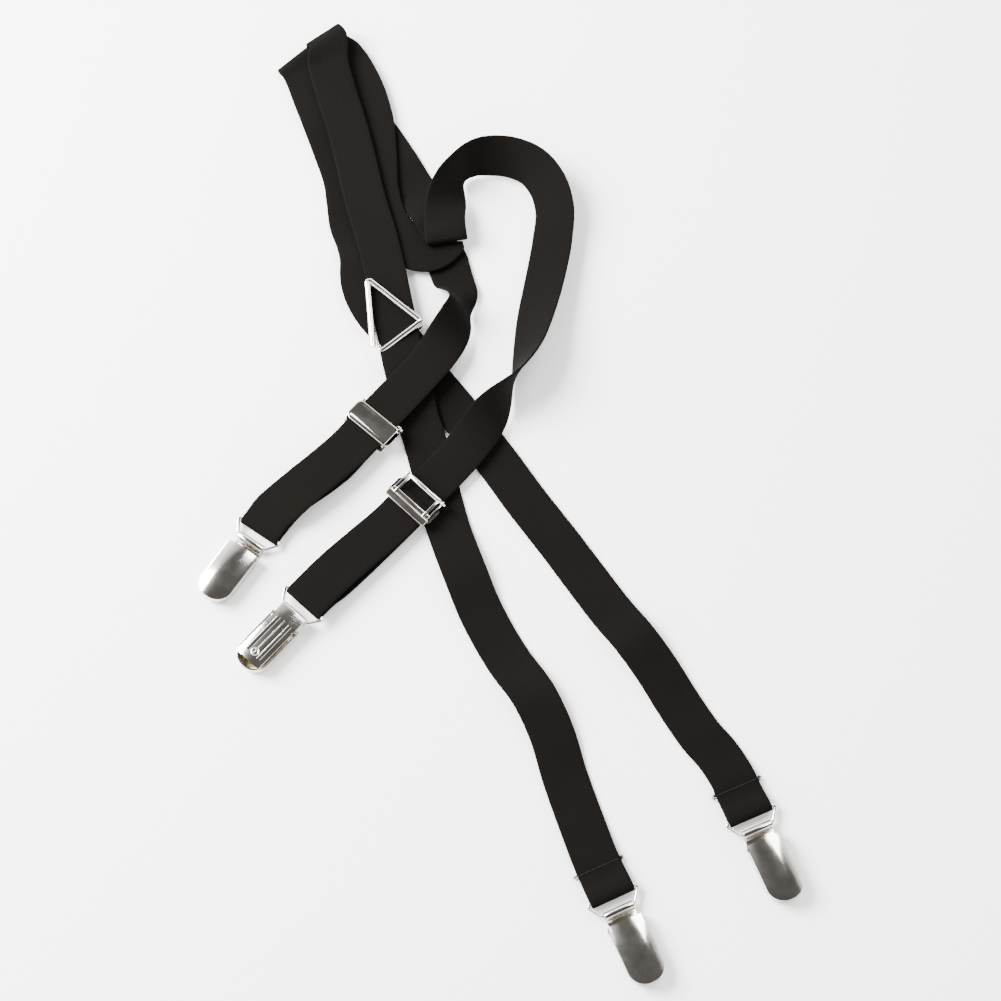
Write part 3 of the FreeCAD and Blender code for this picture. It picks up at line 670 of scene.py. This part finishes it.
def leftRoute():
    route = hem(*clips["left_back"][:2])
    route += [(36, -151, 1.1, 21, 0), (28, -128, 0.9, 19, 0), (22, -108, 2.6, 20, 0), (15, -93, 4.2, 23, 0),
              (3, -75, 1.0, 29, 0), (-9, -53, 1.6, 28, 0), (-15.5, -37, 3.4, 24, 0), (-24, -13, 1.0, 16, 0),
              (-31, 14, 1.0, 9, 0), (-36.3, 33, 1.6, 10, 3.5)]
    route += [(-38.9, 41, 2.5, 12, 3), (-40.6, 49, 3.5, 12, 1), (-43, 58, 4.6, 12, 0),
              (-45.3, 67, 5, 12, 0), (-48, 80, 5, 12, 0), (-50.5, 92, 5, 12, 0), (-53, 104, 5, 12, 0),
              (-55.5, 116, 5, 12, 0)]
    route += [(-59, 131, 5.1, 14, 0), (-66, 155, 5.2, 17, 0), (-71.5, 178, 5.4, 17, 0),
              (-76.5, 197, 5.8, 15, 0), (-81.5, 213, 6.6, 15, 0), (-86, 230, 8.0, 22, 0)]
    route += fold((-88.0, 244.3), 4.7, 9.8, 128, 38)
    route += [(-79, 237, 3.9, 30, 0), (-71, 224, 3.5, 18, 0), (-63.5, 202, 3.0, 14, 0), (-61, 180, 2.9, 3, 0),
              (-59, 157, 2.9, 2, 0), (-54, 142, 3.2, 18, 0), (-46, 131.5, 3.4, 42, 0),
              (-39.6, 125.8, 3.4, 74, 0), (-33.8, 125.8, 3.4, 118, 0), (-29.8, 128.2, 3.4, 152, 0)]
    route += fold((-28.0, 130.8), 1.1, 3.3, 90, 180)
    route += [(-25.5, 122, 1.2, 179, 0), (-23, 112.5, 1.4, 177, 0), (-20.8, 105, 4.2, 174, 11),
              (-19.5, 100, 8.2, 170, 40), (-19, 95, 9.9, 164, 60), (-21, 87, 9.4, 158, 42),
              (-26.5, 76, 7.9, 149, 12), (-34.5, 64.5, 7.1, 142, 0), (-42.5, 55, 6.8, 139, 0)]
    outward = [(-80, 13.5, 7.4, 141, 0), (-91, 3.5, 7.6, 143, 0), (-99, -3.5, 6.6, 145, 0)]
    inward = [(-95, 2.5, 0.9, 144, 0), (-83.5, 11.5, 1.4, 141, 0), (-75, 18, 3.6, 139.5, 0)]
    centre = adjusters["left"][0]
    route += throughAdjuster(centre, 139, 6.7, 0)
    return route + aroundBail("left_front", 1, outward, inward, centre, 139, 5.1, 0)


def rightRoute():
    route = hem(*clips["right_back"][:2])
    route += [(95, -119, 0.9, 27, 0), (87, -109, 0.8, 30, 0), (78, -95, 0.9, 31, 0), (69, -80, 2.2, 32, 0),
              (59, -66, 4.2, 33, 0), (50, -54, 1.6, 35, 0), (38, -37, 0.8, 37, 0), (26, -20, 0.8, 37, 0),
              (12, -1, 0.8, 38, 0), (-1, 18, 0.8, 39, 0)]
    route += [(-12, 33.2, 0.8, 40, 0), (-22.8, 47.4, 0.8, 41, 0), (-33, 60, 2.0, 41, 0),
              (-38.4, 67.4, 3.3, 40, 0), (-43, 73.8, 3.6, 39, 0), (-51, 83.8, 3.6, 38, 0),
              (-58.4, 92.4, 3.6, 32, 0), (-64, 102, 3.6, 20, 0),
              (-66.5, 110, 3.6, 9, 0), (-67.5, 124, 3.6, 7, 0)]
    route += [(-69.8, 133, 1.6, 10, 0), (-73, 142, 0.9, 14, 0), (-75, 155, 0.9, 12, 0),
              (-77, 167, 0.9, 16, 0),
              (-82, 182, 1.4, 20, 0), (-88, 198, 2.4, 21, 0), (-94, 214, 2.5, 22, 0), (-100, 229, 2.5, 34, 0)]
    route += fold((-104.0, 235.0), 1.0, 2.8, 134, 44)
    route += [(-98, 231, 1.05, 50, 0), (-88, 224, 1.05, 53, 0), (-77, 214.5, 1.0, 50, 0),
              (-69, 206, 0.9, 42, 0), (-61.5, 195, 0.9, 33, 0), (-51, 178, 1.0, 30, 0),
              (-40.5, 159.5, 1.0, 27, 0), (-33.2, 146.2, 4.7, 20, 0)]
    route += fold((-26.0, 131.8), 5.2, 8.0, -80, 10, False)
    route += [(-27, 142, 7.8, 8, 0), (-26.5, 150, 7.4, 2, -12), (-25, 159, 8.8, -8, -40),
              (-21, 167.5, 10.6, -30, -68), (-14, 173, 10.6, -62, -62), (-5, 175.5, 9.6, -80, -45),
              (5, 175, 9, -95, -38), (15, 170.5, 8.8, -122, -35), (22.5, 161, 8.0, -148, -30),
              (26, 149, 7.0, -169, -24)]
    route += [(25, 132, 5.6, -184, -16), (21.5, 112, 6.0, -190, -18), (17, 92, 7.2, -192, -28),
              (11, 68, 9.8, -197, -58), (5.3, 54, 10.8, -208, -90), (0, 45.5, 10.6, -213, -120),
              (-6, 37.5, 8.2, -218, -150), (-13, 28, 5.2, -222, -172)]
    outward = [(-58, -21, 1.8, 137, -180), (-68, -31, 1.0, 137, -180), (-76, -39, 1.5, 137, -180)]
    inward = [(-73, -35, 6.6, 137, -180), (-62, -24.5, 5.8, 137, -180)]
    centre = adjusters["right"][0]
    front = throughAdjuster(centre, 137, 3.5, -180)
    front += aroundBail("right_front", -1, outward, inward, centre, 137, 5.1, -180)
    return route + [(x, y, z, side - 360, lean) for x, y, z, side, lean in front]


def ribbonSections(points, steps):
    rows = [list(point) for point in points]
    gaps = [max(math.dist(a[:3], b[:3]), 0.1) for a, b in zip(rows, rows[1:])]
    slopes = [[(b - a) / gaps[0] for a, b in zip(rows[0], rows[1])]]
    for before, here, after, near, far in zip(rows, rows[1:], rows[2:], gaps, gaps[1:]):
        slopes.append([((c - b) / far * near + (b - a) / near * far) / (near + far)
                       for a, b, c in zip(before, here, after)])
    slopes.append([(b - a) / gaps[-1] for a, b in zip(rows[-2], rows[-1])])
    sections = []
    for index, gap in enumerate(gaps):
        count = steps if gap > 4 else 3
        for step in range(count + (index == len(gaps) - 1)):
            sections.append(sectionAt(rows[index:index + 2], slopes[index:index + 2], gap, step / count))
    return sections


def sectionAt(ends, slopes, span, u):
    value, slope = [], []
    for a, b, start, end in zip(*ends, *slopes):
        value.append((2 * u ** 3 - 3 * u ** 2 + 1) * a + (u ** 3 - 2 * u ** 2 + u) * span * start
                     + (3 * u ** 2 - 2 * u ** 3) * b + (u ** 3 - u ** 2) * span * end)
        slope.append((6 * u ** 2 - 6 * u) * (a - b) / span + (3 * u ** 2 - 4 * u + 1) * start
                     + (3 * u ** 2 - 2 * u) * end)
    along = Vector(slope[:3]).normalized()
    lean = math.radians(value[4])
    side = direction(value[3]) * math.cos(lean) + Vector((0, 0, math.sin(lean)))
    up = along.cross(side)
    side /= max(up.length, 0.7)
    return Vector(value[:3]) + shift, side, up.normalized()


def webOutline():  # flat faces and soft rounded selvedges, as (across, up) in mm
    half, high, edge = web["wide"] / 2, web["thick"] / 2, web["edge"]
    outline = []
    for side in (1, -1):
        for step in range(7):
            angle = math.pi / 2 - math.pi * step / 6
            outline.append((side * (half - edge + edge * math.cos(angle)), side * high * math.sin(angle)))
        for step in range(1, 10):
            outline.append((side * (half - edge) * (1 - step / 5), -side * high))
    return outline


def makeStrap(label, route):
    outline = webOutline()
    sections = ribbonSections(route, web["steps"])
    vertices, runs, travelled = [], [], 0
    for index, (centre, side, up) in enumerate(sections):
        travelled += (centre - sections[index - 1][0]).length if index else 0
        runs.append(travelled * mm)
        vertices += [(centre + side * across + up * rise) * mm for across, rise in outline]
    ring = len(outline)
    faces = [tuple(range(ring - 1, -1, -1)), tuple(range(len(vertices) - ring, len(vertices)))]
    for row in range(len(sections) - 1):
        for spot in range(ring):
            here, there = row * ring + spot, row * ring + (spot + 1) % ring
            faces.append((here, there, there + ring, here + ring))
    mesh = bpy.data.meshes.new(label + "Webbing")
    mesh.from_pydata(vertices, [], faces)
    weave = mesh.uv_layers.new(name="weave")
    for loop in mesh.loops:
        row, spot = divmod(loop.vertex_index, ring)
        weave.data[loop.index].uv = (outline[spot][0] * mm, runs[row])
    strap = bpy.data.objects.new(label + "Webbing", mesh)
    bpy.context.collection.objects.link(strap)
    deselect()
    strap.select_set(True)
    bpy.context.view_layer.objects.active = strap
    pick(strap, "FACE", lambda face: True)
    bpy.ops.mesh.normals_make_consistent(inside=False)
    endEdit()
    smooth(strap, 50)
    strap.data.materials.append(finishes["webbing"])
    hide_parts(*[node.name for node in bpy.data.objects if node.name.startswith(label + "_strap_")])
    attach(strap, "webbing")
    print(label, "strap length", round(travelled), "mm")


makeStrap("left", leftRoute())
makeStrap("right", rightRoute())

# the row of stitches over each hem, and the frayed ends beside it
stitching = {"ahead": 12.5, "pitch": 2.6, "count": 7, "long": 2.3, "wire": 0.22, "lift": 0.05, "sink": 0.25,
             "seed": 7}
fraying = {"count": 14, "wire": 0.11, "high": 1.6, "across": 9.7, "drift": 0.9, "long": (0.9, 2.3),
           "stray": 0.5, "rise": (-0.5, 0.6), "bow": 0.4}


def makeHemStitches(label):
    bar, azimuth = clips[label][:2]
    top = web["hem"] + web["thick"] / 2 + stitching["lift"]
    threads = []
    for number in range(stitching["count"]):
        across = direction(azimuth) * ((number - (stitching["count"] - 1) / 2) * stitching["pitch"])
        middle = Vector((*bar, top)) + direction(azimuth + 90) * stitching["ahead"] + across + shift
        half = direction(azimuth) * (stitching["long"] / 2)
        sag = Vector((0, 0, -stitching["sink"]))
        threads.append(wire("thread", [middle - half + sag, middle - half * 0.6, middle + half * 0.6,
                                       middle + half + sag], stitching["wire"], False))
    chance = random.Random(stitching["seed"] + len(label))
    for side in (-1, 1):
        for number in range(fraying["count"]):
            start = Vector((*bar, fraying["high"])) + direction(azimuth) * (side * fraying["across"]) + shift
            drift = chance.uniform(-fraying["drift"], fraying["drift"])
            start += direction(azimuth + 90) * (stitching["ahead"] + drift)
            end = start + direction(azimuth) * (side * chance.uniform(*fraying["long"]))
            stray = [chance.uniform(-fraying["stray"], fraying["stray"]) for axis in "xy"]
            end += Vector((*stray, chance.uniform(*fraying["rise"])))
            bend = start.lerp(end, 0.5) + Vector((0, 0, chance.uniform(0, fraying["bow"])))
            threads.append(wire("fray", [start, bend, end], fraying["wire"], False))
    row = joined(label + "HemThread", threads)
    row.data.materials.append(finishes["thread"])
    smooth(row, 50)
    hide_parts(label + "_hem_stitch")
    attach(row, "webbing")


for label in ("left_back", "right_back"):
    makeHemStitches(label)
print("straps and thread made")

# a bright low sky, a darker zenith for the metal to reflect, one key light and one strip
studio = {"floor": 3.0, "sky": 4.8, "zenith": 0.026,
          "key": {"place": (-1.0, 0.40, 0.85), "size": 0.8, "power": 135.0},
          "strip": {"place": (0.42, 0.62, 1.05), "size": 0.42, "power": 9.0}}


def softLight(name, place, size, power):
    bpy.ops.object.light_add(type="AREA", location=place)
    lamp = bpy.context.object
    lamp.name = name
    lamp.data.size = size
    lamp.data.energy = power
    lamp.rotation_euler = (-Vector(place)).to_track_quat("-Z", "Y").to_euler()


def makeSky():
    world = bpy.data.worlds.new("softSky")
    world.use_nodes = True
    nodes, links = world.node_tree.nodes, world.node_tree.links
    place = nodes.new("ShaderNodeTexCoord")
    split = nodes.new("ShaderNodeSeparateXYZ")
    ramp = nodes.new("ShaderNodeValToRGB")
    ramp.color_ramp.elements[0].position = 0.45
    ramp.color_ramp.elements[0].color = (1, 1, 1, 1)
    ramp.color_ramp.elements[1].position = 0.82
    ramp.color_ramp.elements[1].color = (studio["zenith"], studio["zenith"] * 0.96, studio["zenith"] * 0.9, 1)
    links.new(place.outputs["Generated"], split.inputs[0])
    links.new(split.outputs["Z"], ramp.inputs[0])
    links.new(ramp.outputs[0], nodes["Background"].inputs[0])
    nodes["Background"].inputs[1].default_value = studio["sky"]
    bpy.context.scene.world = world


def makeFloor():
    bpy.ops.mesh.primitive_plane_add(size=studio["floor"], location=(0, 0, -0.00005))
    floor = bpy.context.object
    floor.name = "floor"
    paper = Finish("palePaper")
    cloud = paper.noise(paper.coordinates(), 3.0, 2.0)
    paper.set(Base_Color=paper.ramp(cloud, (0.90, 0.90, 0.90), (0.93, 0.93, 0.93)), Roughness=0.9)
    floor.data.materials.append(paper.material)


makeFloor()
makeSky()
softLight("key", **studio["key"])
softLight("strip", **studio["strip"])
print("floor and light made")
